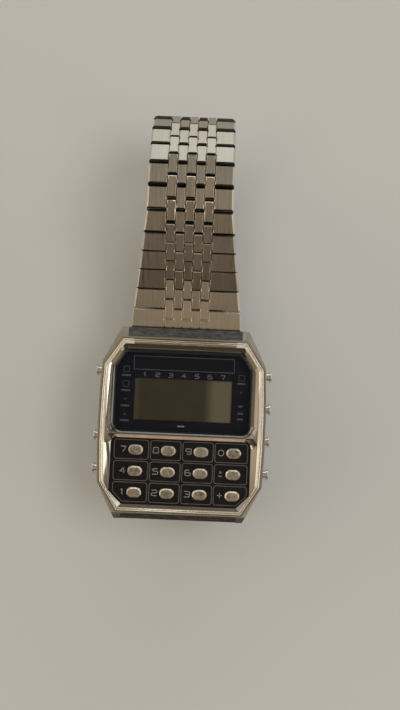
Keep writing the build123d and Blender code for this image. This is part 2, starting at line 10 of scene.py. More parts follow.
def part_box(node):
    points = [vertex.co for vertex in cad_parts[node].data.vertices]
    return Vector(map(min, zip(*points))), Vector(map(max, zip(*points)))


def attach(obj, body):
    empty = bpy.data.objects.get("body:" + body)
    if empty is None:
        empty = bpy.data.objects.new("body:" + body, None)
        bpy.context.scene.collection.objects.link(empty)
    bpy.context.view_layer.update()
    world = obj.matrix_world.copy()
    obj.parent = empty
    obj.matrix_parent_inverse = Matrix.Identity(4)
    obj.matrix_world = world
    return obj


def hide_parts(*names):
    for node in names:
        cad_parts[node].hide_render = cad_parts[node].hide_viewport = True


# Looks for the calculator watch, in metres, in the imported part's own frame.
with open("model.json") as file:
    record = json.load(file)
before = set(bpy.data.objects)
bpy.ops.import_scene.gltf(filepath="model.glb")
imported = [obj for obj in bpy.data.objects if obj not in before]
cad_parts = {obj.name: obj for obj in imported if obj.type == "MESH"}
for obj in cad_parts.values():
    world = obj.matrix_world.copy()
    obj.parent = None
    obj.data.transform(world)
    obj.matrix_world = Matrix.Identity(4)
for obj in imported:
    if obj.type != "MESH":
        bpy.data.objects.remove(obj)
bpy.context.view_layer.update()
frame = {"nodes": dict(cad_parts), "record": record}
nodes = frame["nodes"]

MM = 0.001

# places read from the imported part
case_low, case_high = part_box("mid_case")
HEAD = Vector(((case_low.x + case_high.x) / 2, (case_low.y + case_high.y) / 2, 0))
FRAME_LOW, FRAME_TOP = (corner.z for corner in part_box("front_frame"))
MASK_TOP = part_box("display_mask")[1].z
PLATE_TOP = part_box("keypad_plate")[1].z

# the strips painted dark as shade lie between the lugs, close below the frame
LUG_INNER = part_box("link_upper_01")[1].x + 0.3 * MM
STRIP_LOW = FRAME_LOW - 1.2 * MM

# keys, in mm from the head's middle
KEY_HALF_LENGTH = 1.55
KEY_HALF_WIDTH = 1.05
KEY_FIRST_X = -9.5
KEY_FIRST_Y = -5.7
KEY_PITCH_X = 6.93
KEY_PITCH_Y = -4.5
KEY_X = [KEY_FIRST_X + KEY_PITCH_X * column for column in range(4)]
KEY_Y = [KEY_FIRST_Y + KEY_PITCH_Y * row for row in range(3)]

# camera, placed from the head's middle at the top of its frame
CAMERA_OFFSET = Vector((3.08, 6.66, 157.4)) * MM
CAMERA_LOOKS = Vector((0.0012, 0.0523, -1.0))
CAMERA_ROLL = math.radians(2.45)
FOCAL_PIXELS = 742
PHOTO_LONG_SIDE = 710
SENSOR = 36.0
CAMERA_CLIP = (0.005, 20)


def make_camera():
    data = bpy.data.cameras.new("photo_camera")
    camera = bpy.data.objects.new("photo_camera", data)
    bpy.context.scene.collection.objects.link(camera)
    data.sensor_width = SENSOR
    data.lens = FOCAL_PIXELS / PHOTO_LONG_SIDE * SENSOR
    data.clip_start, data.clip_end = CAMERA_CLIP
    back = -CAMERA_LOOKS.normalized()
    up = Vector((-math.sin(CAMERA_ROLL), math.cos(CAMERA_ROLL), 0))
    right = up.cross(back).normalized()
    up = back.cross(right)
    turn = Matrix((right, up, back)).transposed().to_4x4()
    place = Vector((HEAD.x, HEAD.y, FRAME_TOP)) + CAMERA_OFFSET
    camera.matrix_world = Matrix.Translation(place) @ turn
    bpy.context.scene.camera = camera


# light and surroundings


# room brightness from the dark front (0) over the top (0.6) to the window wall (1)
ROOM_SLOPE = (0.25, 0.95, 0.15)
ROOM_STOPS = (
    (0.0, (0.07, 0.075, 0.07)),
    (0.10, (0.09, 0.08, 0.065)),
    (0.265, (0.10, 0.08, 0.055)),
    (0.33, (0.42, 0.33, 0.23)),
    (0.45, (0.45, 0.37, 0.28)),
    (0.60, (0.48, 0.40, 0.31)),
    (0.84, (0.52, 0.47, 0.40)),
    (0.925, (0.20, 0.165, 0.13)),
    (0.97, (0.84, 0.90, 0.88)),
    (1.0, (0.92, 1.0, 0.98)),
)
ROOM_STRENGTH = 0.82
HORIZON_GLOW = (1.12, 1.02, 0.86)
GLOW_ENDS = (0.06, 0.15)

# patches on the side walls: their size, how dark and light they are, how light the walls are from left
# to right, and how far aside the patches start and are full
PATCH_SCALE = 4.5
PATCH_LEVELS = (0.35, 1.65)
WALL_LEVELS = (1.5, 0.5)
PATCH_STARTS = (0.3, 0.6)

# sockets of the Mix node
MIX_FACTOR = 0
MIX_VALUES = (2, 3)
MIX_COLOURS = (6, 7)
MIX_VALUE_OUT = 0
MIX_COLOUR_OUT = 2


def make_world():
    """A soft room: dark in front, bright behind, patchy at the sides, with a pale glow along the horizon."""
    world = bpy.data.worlds.new("soft_room")
    bpy.context.scene.world = world
    world.use_nodes = True
    tree = world.node_tree
    tree.nodes.clear()
    link = tree.links.new
    output = node(tree, "ShaderNodeOutputWorld")
    background = node(tree, "ShaderNodeBackground", None, {"Strength": ROOM_STRENGTH})
    where = node(tree, "ShaderNodeTexCoord").outputs["Generated"]
    slope = node(tree, "ShaderNodeVectorMath", {"operation": "DOT_PRODUCT"}, {1: ROOM_SLOPE})
    link(where, slope.inputs[0])
    ramp = node(tree, "ShaderNodeValToRGB")
    set_stops(ramp, ROOM_STOPS)
    link(ranged(tree, slope.outputs["Value"], 0, 1, -1, 1), ramp.inputs["Fac"])
    split = node(tree, "ShaderNodeSeparateXYZ")
    link(where, split.inputs["Vector"])
    aside = node(tree, "ShaderNodeMath", {"operation": "ABSOLUTE"})
    link(split.outputs["X"], aside.inputs[0])
    patches = node(tree, "ShaderNodeTexNoise", None, {"Scale": PATCH_SCALE, "Detail": 2.0})
    link(where, patches.inputs["Vector"])
    level = node(tree, "ShaderNodeMath", {"operation": "MULTIPLY"})
    link(ranged(tree, patches.outputs["Fac"], *PATCH_LEVELS, 0.36, 0.64), level.inputs[0])
    link(ranged(tree, split.outputs["X"], *WALL_LEVELS, -0.9, 0.9), level.inputs[1])
    shade = node(tree, "ShaderNodeMix", {"data_type": "FLOAT"}, {MIX_VALUES[0]: 1.0})
    link(ranged(tree, aside.outputs["Value"], 0, 1, *PATCH_STARTS), shade.inputs[MIX_FACTOR])
    link(level.outputs["Value"], shade.inputs[MIX_VALUES[1]])
    walls = node(tree, "ShaderNodeVectorMath", {"operation": "SCALE"})
    link(ramp.outputs["Color"], walls.inputs[0])
    link(shade.outputs[MIX_VALUE_OUT], walls.inputs["Scale"])
    low = ranged(tree, split.outputs["Z"], 1, 0, *GLOW_ENDS)
    link(blend_colours(tree, low, walls.outputs["Vector"], HORIZON_GLOW), background.inputs["Color"])
    link(background.outputs["Background"], output.inputs["Surface"])


def set_stops(ramp, stops):
    """Gives a colour ramp its stops, each a position and a colour."""
    elements = ramp.color_ramp.elements
    while len(elements) > 1:
        elements.remove(elements[-1])
    elements[0].position = stops[0][0]
    elements[0].color = (*stops[0][1], 1)
    for position, colour in stops[1:]:
        element = elements.new(position)
        element.color = (*colour, 1)


# lamps: name, place, size across and up, power in watts, colour
LAMP_AIM = (0, -0.01, 0.015)
LAMPS = (
    ("window_light", (0.05, 1.30, 0.42), (1.9, 0.75), 4.0, (0.93, 1.0, 0.99)),
    ("right_light", (0.70, 0.10, 1.12), (0.8, 0.45), 2.8, (0.97, 1.0, 0.99)),
    ("warm_light", (-1.20, 0.05, 0.42), (1.8, 0.4), 4.0, (1.0, 0.90, 0.74)),
    ("side_light", (1.20, 0.05, 0.42), (1.8, 0.4), 3.0, (1.0, 0.98, 0.92)),
    ("front_light", (0.10, -0.66, 1.06), (1.2, 0.16), 0.50, (1.0, 0.84, 0.64)),
    ("low_light", (0.0, -1.19, 0.58), (1.5, 0.07), 0.26, (1.0, 0.70, 0.50)),
)


def soft_light(name, place, size, power, colour):
    data = bpy.data.lights.new(name, "AREA")
    data.shape = "RECTANGLE"
    data.size, data.size_y = size
    data.energy = power
    data.color = colour
    lamp = bpy.data.objects.new(name, data)
    bpy.context.scene.collection.objects.link(lamp)
    lamp.location = place
    lamp.rotation_euler = (Vector(LAMP_AIM) - Vector(place)).to_track_quat("-Z", "Y").to_euler()


FLOOR_HALF = 3.0
FLOOR_COLOUR = (0.74, 0.76, 0.77)


def make_floor():
    mesh = bpy.data.meshes.new("floor")
    corners = [(x * FLOOR_HALF, y * FLOOR_HALF, 0) for x, y in ((-1, -1), (1, -1), (1, 1), (-1, 1))]
    mesh.from_pydata(corners, [], [(0, 1, 2, 3)])
    floor = bpy.data.objects.new("floor", mesh)
    bpy.context.scene.collection.objects.link(floor)
    material, shader, _ = new_material("pale_floor")
    shader.inputs["Base Color"].default_value = (*FLOOR_COLOUR, 1)
    shader.inputs["Roughness"].default_value = 0.75
    mesh.materials.append(material)


# shader helpers


def new_material(name):
    """A material with its shader and its node tree."""
    material = bpy.data.materials.new(name)
    material.use_nodes = True
    tree = material.node_tree
    shader = tree.nodes["Principled BSDF"]
    return material, shader, tree


def node(tree, kind, settings=None, values=None):
    """A node with settings of its own and values on its inputs."""
    made = tree.nodes.new(kind)
    for key, value in (settings or {}).items():
        setattr(made, key, value)
    for key, value in (values or {}).items():
        made.inputs[key].default_value = value
    return made


def object_place(tree, scale):
    """Object coordinates, stretched by scale."""
    where = node(tree, "ShaderNodeTexCoord")
    mapping = node(tree, "ShaderNodeMapping", None, {"Scale": scale})
    tree.links.new(where.outputs["Object"], mapping.inputs["Vector"])
    return mapping.outputs["Vector"]


def noise(tree, scale, detail=3.0, roughness=0.55):
    """Noise whose grain is 1 / scale metres along each axis."""
    made = node(tree, "ShaderNodeTexNoise", None, {"Scale": 1.0, "Detail": detail, "Roughness": roughness})
    tree.links.new(object_place(tree, scale), made.inputs["Vector"])
    return made.outputs["Fac"]


def ranged(tree, value, low, high, from_low=0.3, from_high=0.7):
    """The value, which runs from from_low to from_high, stretched to run from low to high."""
    made = node(
        tree, "ShaderNodeMapRange", None,
        {"From Min": from_low, "From Max": from_high, "To Min": low, "To Max": high},
    )
    tree.links.new(value, made.inputs["Value"])
    return made.outputs["Result"]


def blend_colours(tree, factor, first, second):
    """From the first colour to the second; each is three numbers or a socket."""
    made = node(tree, "ShaderNodeMix", {"data_type": "RGBA"})
    for place, colour in zip(MIX_COLOURS, (first, second)):
        if isinstance(colour, tuple):
            made.inputs[place].default_value = (*colour, 1)
        else:
            tree.links.new(colour, made.inputs[place])
    tree.links.new(factor, made.inputs[MIX_FACTOR])
    return made.outputs[MIX_COLOUR_OUT]


def bump(tree, height, depth):
    made = node(tree, "ShaderNodeBump", None, {"Strength": 1.0, "Distance": depth})
    tree.links.new(height, made.inputs["Height"])
    return made.outputs["Normal"]


# finishes


# how much of its colour a stained metal or a worn print keeps
FADED = 0.72
BRUSH_DEPTH = 0.000006


def brushed_steel(name, light, dark, grain, roughness=(0.24, 0.40)):
    """Steel with fine brush lines; grain gives how often they change along each axis."""
    material, shader, tree = new_material(name)
    lines = noise(tree, grain, detail=4.0, roughness=0.7)
    smudge = noise(tree, (160, 160, 160), detail=2.0)
    tint = blend_colours(tree, ranged(tree, lines, 0, 1, 0.25, 0.75), dark, light)
    stained = blend_colours(tree, ranged(tree, smudge, 0.0, 0.25), tint, tuple(c * FADED for c in light))
    tree.links.new(stained, shader.inputs["Base Color"])
    tree.links.new(ranged(tree, lines, *roughness, 0.25, 0.75), shader.inputs["Roughness"])
    tree.links.new(bump(tree, lines, BRUSH_DEPTH), shader.inputs["Normal"])
    shader.inputs["Metallic"].default_value = 1.0
    return material


# grain of the fingerprints and of the rubbing marks on polished steel, and how deep the marks are
SMUDGE_GRAIN = (300, 300, 300)
RUB_GRAIN = (2600, 900, 2600)
RUB_DEPTH = 0.0000012


def polish(tree, shader, fresh, worn, most, roughness):
    """Mirror steel; fingerprints turn its fresh colour towards the worn one, by most where they are thick."""
    smudge = noise(tree, SMUDGE_GRAIN, detail=4.0)
    rub = noise(tree, RUB_GRAIN, detail=3.0)
    tint = blend_colours(tree, ranged(tree, smudge, 0.0, most), fresh, worn)
    tree.links.new(tint, shader.inputs["Base Color"])
    tree.links.new(ranged(tree, smudge, *roughness), shader.inputs["Roughness"])
    tree.links.new(bump(tree, rub, RUB_DEPTH), shader.inputs["Normal"])
    shader.inputs["Metallic"].default_value = 1.0


def polished_steel(name, light, roughness=(0.05, 0.13)):
    """Mirror steel with faint rubbing marks and fingerprints."""
    material, shader, tree = new_material(name)
    polish(tree, shader, light, tuple(c * 0.8 for c in light), 0.3, roughness)
    return material


def banded_steel(name, low, high, stops):
    """Mirror steel whose tint changes in bands from the height low to the height high; the bands paint shade
    and highlights.
    """
    material, shader, tree = new_material(name)
    split = node(tree, "ShaderNodeSeparateXYZ")
    tree.links.new(node(tree, "ShaderNodeTexCoord").outputs["Object"], split.inputs["Vector"])
    bands = node(tree, "ShaderNodeValToRGB")
    set_stops(bands, stops)
    tree.links.new(ranged(tree, split.outputs["Z"], 0, 1, low, high), bands.inputs["Fac"])
    polish(tree, shader, bands.outputs["Color"], (0.62, 0.55, 0.45), 0.25, (0.06, 0.14))
    return material


def satin_plastic(name, light, dark, roughness=(0.28, 0.42), speck=900, shine=0.5):
    """Moulded or painted surface, or rubber, with a fine grain of speck grains to a metre."""
    material, shader, tree = new_material(name)
    shader.inputs["Specular IOR Level"].default_value = shine
    grain = noise(tree, (speck, speck, speck), detail=4.0)
    tree.links.new(blend_colours(tree, ranged(tree, grain, 0, 1), dark, light), shader.inputs["Base Color"])
    tree.links.new(ranged(tree, grain, *roughness), shader.inputs["Roughness"])
    tree.links.new(bump(tree, grain, 0.000003), shader.inputs["Normal"])
    return material


# a key's rim painted bright as a highlight starts and is full at these places; the middle is 0, and the ends
# of a round key are 1
KEY_HIGHLIGHT_RIM = (0.45, 0.9)


def key_metal():
    """Plated key tops: a dull mottled, unevenly worn face inside a rim painted bright as a highlight."""
    material, shader, tree = new_material("plated_keys")
    link = tree.links.new
    split = node(tree, "ShaderNodeSeparateXYZ")
    link(node(tree, "ShaderNodeTexCoord").outputs["Object"], split.inputs["Vector"])
    shares = []
    for axis, first, pitch, half in (
        ("X", HEAD.x + KEY_X[0] * MM, KEY_PITCH_X * MM, KEY_HALF_LENGTH * MM),
        ("Y", HEAD.y + KEY_Y[0] * MM, KEY_PITCH_Y * MM, KEY_HALF_WIDTH * MM),
    ):
        reach = abs(pitch) / 2
        wrap = node(tree, "ShaderNodeMath", {"operation": "WRAP"}, {1: first + reach, 2: first - reach})
        link(split.outputs[axis], wrap.inputs[0])
        share = ranged(tree, wrap.outputs["Value"], -1, 1, first - half, first + half)
        power = node(tree, "ShaderNodeMath", {"operation": "POWER"}, {1: 2.0})
        away = node(tree, "ShaderNodeMath", {"operation": "ABSOLUTE"})
        link(share, away.inputs[0])
        link(away.outputs["Value"], power.inputs[0])
        shares.append(power.outputs["Value"])
    out = node(tree, "ShaderNodeMath", {"operation": "ADD"})
    link(shares[0], out.inputs[0])
    link(shares[1], out.inputs[1])
    rim = ranged(tree, out.outputs["Value"], 0, 1, *KEY_HIGHLIGHT_RIM)
    mottle = noise(tree, (1300, 1900, 1300), detail=4.0, roughness=0.7)
    wear = noise(tree, (420, 420, 420), detail=2.0)
    tint = blend_colours(tree, ranged(tree, mottle, 0, 1, 0.38, 0.62), (0.13, 0.105, 0.08), (0.56, 0.49, 0.40))
    worn = blend_colours(tree, ranged(tree, wear, 0.0, 0.5), tint, (0.66, 0.60, 0.52))
    # painted highlight: the light rim colour round each key
    faced = blend_colours(tree, rim, worn, (0.80, 0.75, 0.66))
    link(faced, shader.inputs["Base Color"])
    link(ranged(tree, mottle, 0.40, 0.22), shader.inputs["Roughness"])
    link(bump(tree, mottle, 0.00002), shader.inputs["Normal"])
    shader.inputs["Metallic"].default_value = 1.0
    return material


def clear_glass(name, tint, thin, thick):
    """Glass that shows more of itself where it is seen edge on; thin and thick give how much."""
    material, shader, tree = new_material(name)
    dust = noise(tree, (500, 500, 500), detail=5.0)
    tree.links.new(ranged(tree, dust, 0.02, 0.07, 0.4, 0.8), shader.inputs["Roughness"])
    shader.inputs["Base Color"].default_value = (*tint, 1)
    shader.inputs["IOR"].default_value = 1.5
    rim = node(tree, "ShaderNodeLayerWeight", None, {"Blend": 0.35})
    tree.links.new(ranged(tree, rim.outputs["Fresnel"], thin, thick, 0.0, 0.8), shader.inputs["Alpha"])
    return material


# where along X painted light makes the cell lighter, and where the painted glow along its left border ends
LCD_PAINTED_LIGHT_FROM = (0.0042, 0.0072)
LCD_PAINTED_GLOW_TO = (-0.0104, -0.0088)


def smooth_step(tree, value, places, low, high):
    """Goes gently from low to high between two places."""
    made = node(
        tree, "ShaderNodeMapRange", {"interpolation_type": "SMOOTHSTEP"},
        {"From Min": places[0], "From Max": places[1], "To Min": low, "To Max": high},
    )
    tree.links.new(value, made.inputs["Value"])
    return made.outputs["Result"]


def liquid_crystal():
    """Grey-olive cell, with painted light making it lighter towards its right end and a painted glow along its
    left border.
    """
    material, shader, tree = new_material("liquid_crystal")
    where = node(tree, "ShaderNodeTexCoord")
    split = node(tree, "ShaderNodeSeparateXYZ")
    tree.links.new(where.outputs["Object"], split.inputs["Vector"])
    right = smooth_step(tree, split.outputs["X"], LCD_PAINTED_LIGHT_FROM, 0.0, 1.0)
    left = smooth_step(tree, split.outputs["X"], LCD_PAINTED_GLOW_TO, 0.6, 0.0)
    cloud = noise(tree, (260, 200, 260), detail=2.0)
    base = blend_colours(tree, ranged(tree, cloud, 0, 1), (0.063, 0.050, 0.017), (0.085, 0.070, 0.028))
    # painted light: a lighter border on the left and a lighter right end
    edge = blend_colours(tree, left, base, (0.174, 0.152, 0.083))
    tint = blend_colours(tree, right, edge, (0.29, 0.25, 0.16))
    tree.links.new(tint, shader.inputs["Base Color"])
    shader.inputs["Roughness"].default_value = 0.35
    return material


def print_ink(name, colour):
    """Printed ink, worn unevenly."""
    material, shader, tree = new_material(name)
    worn = noise(tree, (2500, 2500, 2500), detail=3.0)
    faded = tuple(c * FADED for c in colour)
    tree.links.new(blend_colours(tree, ranged(tree, worn, 0, 1), faded, colour), shader.inputs["Base Color"])
    shader.inputs["Roughness"].default_value = 0.5
    return material


# the rows that the lugs hold, which keep the shape they have in CAD: a wider bevel would touch the case
LUG_ROWS = ("link_upper_01", "link_lower_01")


def finish_nodes():
    """Gives each node its slot's finish, and gives the case, the glass and the rows finishes by face."""
    bracelet = brushed_steel("bracelet_brushed", (0.54, 0.50, 0.43), (0.35, 0.31, 0.27), (4200, 110, 110))
    case = brushed_steel("case_brushed", (0.62, 0.61, 0.57), (0.40, 0.39, 0.36), (3600, 90, 3600))
    sheet = brushed_steel("sheet_brushed", (0.54, 0.52, 0.50), (0.40, 0.38, 0.37), (3600, 80, 3600))
    back = brushed_steel("back_brushed", (0.54, 0.53, 0.52), (0.42, 0.41, 0.40), (60, 3800, 60))
    mirror = polished_steel("frame_polished", (0.50, 0.47, 0.42))
    pusher = polished_steel("pusher_polished", (0.62, 0.61, 0.58), (0.06, 0.14))
    glass = clear_glass("display_glass", (0.012, 0.018, 0.035), 0.05, 0.65)
    finishes = {
        "case_steel": case,
        "frame_steel": mirror,
        "glass": glass,
        "mask": satin_plastic("display_mask_blue", (0.006, 0.009, 0.024), (0.003, 0.005, 0.013), shine=0.2),
        "lcd": liquid_crystal(),
        "panel": satin_plastic("keypad_black", (0.007, 0.007, 0.008), (0.003, 0.003, 0.003), shine=0.25),
        "mat": satin_plastic("key_mat_rubber", (0.10, 0.10, 0.10), (0.06, 0.06, 0.06), (0.6, 0.8)),
        "module": satin_plastic("module_plastic", (0.09, 0.09, 0.10), (0.05, 0.05, 0.06), (0.4, 0.6)),
        "board": satin_plastic("board_green", (0.03, 0.18, 0.09), (0.02, 0.11, 0.06), (0.35, 0.5)),
        "cell": brushed_steel("cell_nickel", (0.76, 0.75, 0.72), (0.62, 0.61, 0.58), (900, 900, 900)),
        "back_steel": back,
        "gasket": satin_plastic("gasket_rubber", (0.03, 0.03, 0.03), (0.02, 0.02, 0.02), (0.6, 0.8)),
        "pin_steel": sheet,
        "blade_steel": sheet,
        "clasp_steel": sheet,
        "bracelet_steel": bracelet,
        "key_caps": key_metal(),
        "pusher_steel": pusher,
    }
    for entry in frame["record"]["subparts"]:
        nodes[entry["node"]].data.materials.clear()
        nodes[entry["node"]].data.materials.append(finishes[entry["material_slot"]])
    edge = polished_steel("bracelet_bright_edges", (0.73, 0.67, 0.56), (0.18, 0.32))
    # painted shade: near-black finish for the faces in the gaps and recesses of the bracelet rows
    painted_gap_shade = satin_plastic("bracelet_dark_gaps", (0.035, 0.030, 0.026), (0.015, 0.013, 0.012), (0.4, 0.6))
    for joint in frame["record"]["behaviour"]["joints"]:
        row = joint["child"]
        if not row.startswith("link_"):
            continue
        pin = Vector(joint["pos_m"])
        if row in LUG_ROWS:
            finish_row(nodes[row].data, pin, edge, painted_gap_shade)
        else:
            edged_row(row, pin, edge, painted_gap_shade)
    flank = polished_steel("case_polished", (0.40, 0.37, 0.34), (0.07, 0.18))
    # painted shade: a near-black steel on the strips under the frame and on the lower horns
    painted_shade_strip = brushed_steel(
        "case_dark_strip", (0.26, 0.27, 0.27), (0.035, 0.039, 0.044), (500, 1800, 500), roughness=(0.2, 0.4),
    )
    finish_faces(nodes["mid_case"].data, (flank, painted_shade_strip), case_face)
    # painted reflection: the bevel's greyer, more opaque glass stands in for the light it catches
    rim = clear_glass("glass_bevel", (0.10, 0.11, 0.13), 0.16, 0.8)
    finish_faces(nodes["crystal"].data, (rim,), lambda face: int(abs(face.normal.z) < 0.9))


def finish_faces(mesh, more, choose):
    """Further finishes on some faces; choose gives 0 for the piece's own one."""
    for material in more:
        mesh.materials.append(material)
    for face in mesh.polygons:
        face.material_index = choose(face)


def case_face(face):
    """1 on the case's flanks, 2 on the sloping strips between its lugs and on its lower horns, which get a
    dark finish that paints shade.
    """
    if abs(face.normal.z) < 0.5:
        return 1
    upward = 0.5 < face.normal.z < 0.995
    if upward and abs(face.center.x) < LUG_INNER and face.center.z > STRIP_LOW:
        return 2
    return 2 if upward and face.center.y < HEAD.y else 0


def frame_face(face):
    """1 on the frame's outer sides, which lean away from the head's middle."""
    away = face.center - HEAD
    return int(0.05 < face.normal.z < 0.8 and face.normal.x * away.x + face.normal.y * away.y > 0)


# tints up the frame's outer side, as painted shade and painted highlights: painted shade at its foot, where it
# meets the case, and in a groove between two ridges, painted highlights on the bands beside the groove and on
# its top edge
PAINTED_LIGHT_BANDS = (
    (0.0, (0.03, 0.028, 0.025)),
    (0.35, (0.03, 0.028, 0.025)),
    (0.38, (1.0, 0.93, 0.78)),
    (0.52, (0.96, 0.87, 0.70)),
    (0.57, (0.24, 0.19, 0.14)),
    (0.62, (0.24, 0.19, 0.14)),
    (0.65, (1.0, 0.92, 0.76)),
    (0.84, (0.96, 0.87, 0.70)),
    (0.88, (1.0, 0.96, 0.88)),
    (1.0, (1.0, 0.96, 0.88)),
)

# the ridges stand at these shares of the frame's height, and are this thick in mm
RIDGE_SHARES = (0.50, 0.68)
RIDGE_SIZE = 0.12


def frame_ridges(tree):
    """Two fine ridges round the frame's sloping outer side, in a near-white steel that paints their highlight.
    """
    shell = joined_shell("front_frame")
    # painted highlight: the ridges' steel is far lighter than the frame's
    steel = polished_steel("frame_ridge_edges", (1.0, 0.95, 0.84))
    for number, share in enumerate(RIDGE_SHARES, start=1):
        height = FRAME_LOW + share * (FRAME_TOP - FRAME_LOW)
        whole = shell.verts[:] + shell.edges[:] + shell.faces[:]
        level = bmesh.ops.bisect_plane(shell, geom=whole, plane_co=(0, 0, height), plane_no=(0, 0, 1))
        points = [(item.co - HEAD) / MM for item in level["geom_cut"] if isinstance(item, bmesh.types.BMVert)]
        order = convex_hull_2d([point.to_2d() for point in points])
        outline = [(True, [(points[k].x, points[k].y) for k in order])]
        ridge = ruled_lines(f"frame_ridge_{number}", outline, height, RIDGE_SIZE, 0.0, steel, tree, RIDGE_SIZE)
        on_head(ridge)
    shell.free()


# a row's outer faces are farther than this from its pin
ROW_TOP = 0.0011

# how much wider a row's side bevels are than in CAD, in mm
BEVEL_GROWTH = 0.22


def row_directions(mesh, pin):
    """The direction that a row's outer faces look to, and the direction along the strap."""
    areas = {}
    for face in mesh.polygons:
        if abs(face.normal.x) < 0.01:
            key = (round(face.normal.y, 2), round(face.normal.z, 2))
            areas.setdefault(key, [0.0, face.normal.copy(), 0.0])
            areas[key][0] += face.area
            areas[key][2] = max(areas[key][2], (face.center - pin).dot(face.normal))
    outward = max((entry for entry in areas.values() if entry[2] > ROW_TOP), key=lambda entry: entry[0])[1]
    along = Vector((1, 0, 0)).cross(outward)
    if sum(face.area * (face.center - pin).dot(along) for face in mesh.polygons) < 0:
        along = -along
    return outward, along


def finish_row(mesh, pin, edge, painted_gap_shade):
    """A row's brushed outer faces and bright broken edges, with painted shade: a near-black finish in the gaps
    between its bricks, on the groove's floor and on the broken edges that face one way along the strap.
    """
    outward, along = row_directions(mesh, pin)

    def choose(face):
        rise = face.normal.dot(outward)
        height = (face.center - pin).dot(outward)
        looks_aside = abs(face.normal.x) > 0.95
        if looks_aside:
            return 0
        looks_out_or_in = abs(rise) > 0.95
        if looks_out_or_in:
            return 0 if height > ROW_TOP or rise < 0 else 2
        is_broken_edge = rise > 0.3
        if is_broken_edge:
            # the broken edges facing one way along the strap get painted shade, the others the bright finish
            return 2 if face.normal.dot(along) < -0.5 else 1
        return 2 if abs(face.normal.dot(along)) > 0.9 and height > 0 else 1

    finish_faces(mesh, (edge, painted_gap_shade), choose)


def joined_shell(name):
    """A node's loose triangles joined into one shell."""
    shell = bmesh.new()
    shell.from_mesh(nodes[name].data)
    bmesh.ops.remove_doubles(shell, verts=shell.verts, dist=0.001 * MM)
    return shell


def flat_faced_shell(name):
    """A node's joined shell, with one face wherever its triangles are level."""
    shell = joined_shell(name)
    bmesh.ops.dissolve_limit(shell, angle_limit=math.radians(1), verts=shell.verts, edges=shell.edges)
    return shell


def stand_in(shell, name, ending, body):
    """Makes the shell a piece that stands for the node and has its finish."""
    mesh = bpy.data.meshes.new(name + ending)
    shell.to_mesh(mesh)
    shell.free()
    mesh.materials.append(nodes[name].data.materials[0])
    piece = bpy.data.objects.new(name + ending, mesh)
    bpy.context.scene.collection.objects.link(piece)
    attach(piece, body)
    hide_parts(name)
    return piece


def edged_row(name, pin, edge, painted_gap_shade):
    """Stands for a bracelet row, with wider bright bevels along its sides."""
    shell = flat_faced_shell(name)
    outward = row_directions(nodes[name].data, pin)[0]
    at_side = 0.9 * max(abs(vertex.co.x) for vertex in shell.verts)
    corners = {
        vertex
        for bevel in shell.faces if 0.5 < abs(bevel.normal.x) < 0.9
        for vertex in bevel.verts if abs(vertex.co.x) > at_side
    }
    moves = [
        (vertex, any(abs(face.normal.x) > 0.95 and face.calc_area() > MM * MM for face in vertex.link_faces))
        for vertex in corners
    ]
    for vertex, on_side in moves:
        inward = Vector((-math.copysign(1, vertex.co.x), 0, 0))
        vertex.co += (-outward if on_side else inward) * BEVEL_GROWTH * MM
    piece = stand_in(shell, name, "_edged", name)
    finish_row(piece.data, pin, edge, painted_gap_shade)


# the frame's broken edges: their width in mm, and from which angle an edge is sharp
SOFT_EDGE = 0.3
SOFT_EDGE_SEGMENTS = 2
SHARP_FROM = math.radians(25)


def soft_frame():
    """Stands for the front frame with its sharp edges broken, so that they catch the light."""
    piece = stand_in(flat_faced_shell("front_frame"), "front_frame", "_softened", "head")
    # painted shade and painted highlights in bands up the frame's outer sides
    rim = banded_steel("frame_outer_rim", FRAME_LOW, FRAME_TOP, PAINTED_LIGHT_BANDS)
    finish_faces(piece.data, (rim,), frame_face)
    shaper = piece.modifiers.new("soft_edges", "BEVEL")
    shaper.width = SOFT_EDGE * MM
    shaper.segments = SOFT_EDGE_SEGMENTS
    shaper.limit_method = "ANGLE"
    shaper.angle_limit = SHARP_FROM


# turned pushers: radii and lengths in mm, along the pusher from its collar to its outer end
COLLAR_RADIUS = 1.3
COLLAR_LENGTH = 0.45
STEM_RADIUS = 0.9
CAP_RADIUS = 1.16
CAP_LENGTH = 0.45
CAP_ROUND = 0.13
CAP_DISH = 0.06
CAP_SIDES = 40
ROUND_ANGLES = (90, 60, 30, 0)
TURNED_SHARP_FROM = math.radians(40)


def pusher_profile(length):
    """Places along a pusher of this length, with the radius at each."""
    foot = length - CAP_LENGTH
    profile = [
        (0, COLLAR_RADIUS), (COLLAR_LENGTH, COLLAR_RADIUS), (COLLAR_LENGTH, STEM_RADIUS), (foot, STEM_RADIUS),
        (foot, CAP_RADIUS - CAP_ROUND / 2), (foot + CAP_ROUND / 2, CAP_RADIUS),
    ]
    for turn in map(math.radians, ROUND_ANGLES):
        along = length - CAP_ROUND + CAP_ROUND * math.cos(turn)
        profile.append((along, CAP_RADIUS - CAP_ROUND + CAP_ROUND * math.sin(turn)))
    profile.append((length - CAP_DISH, (CAP_RADIUS - CAP_ROUND) / 2))
    return profile


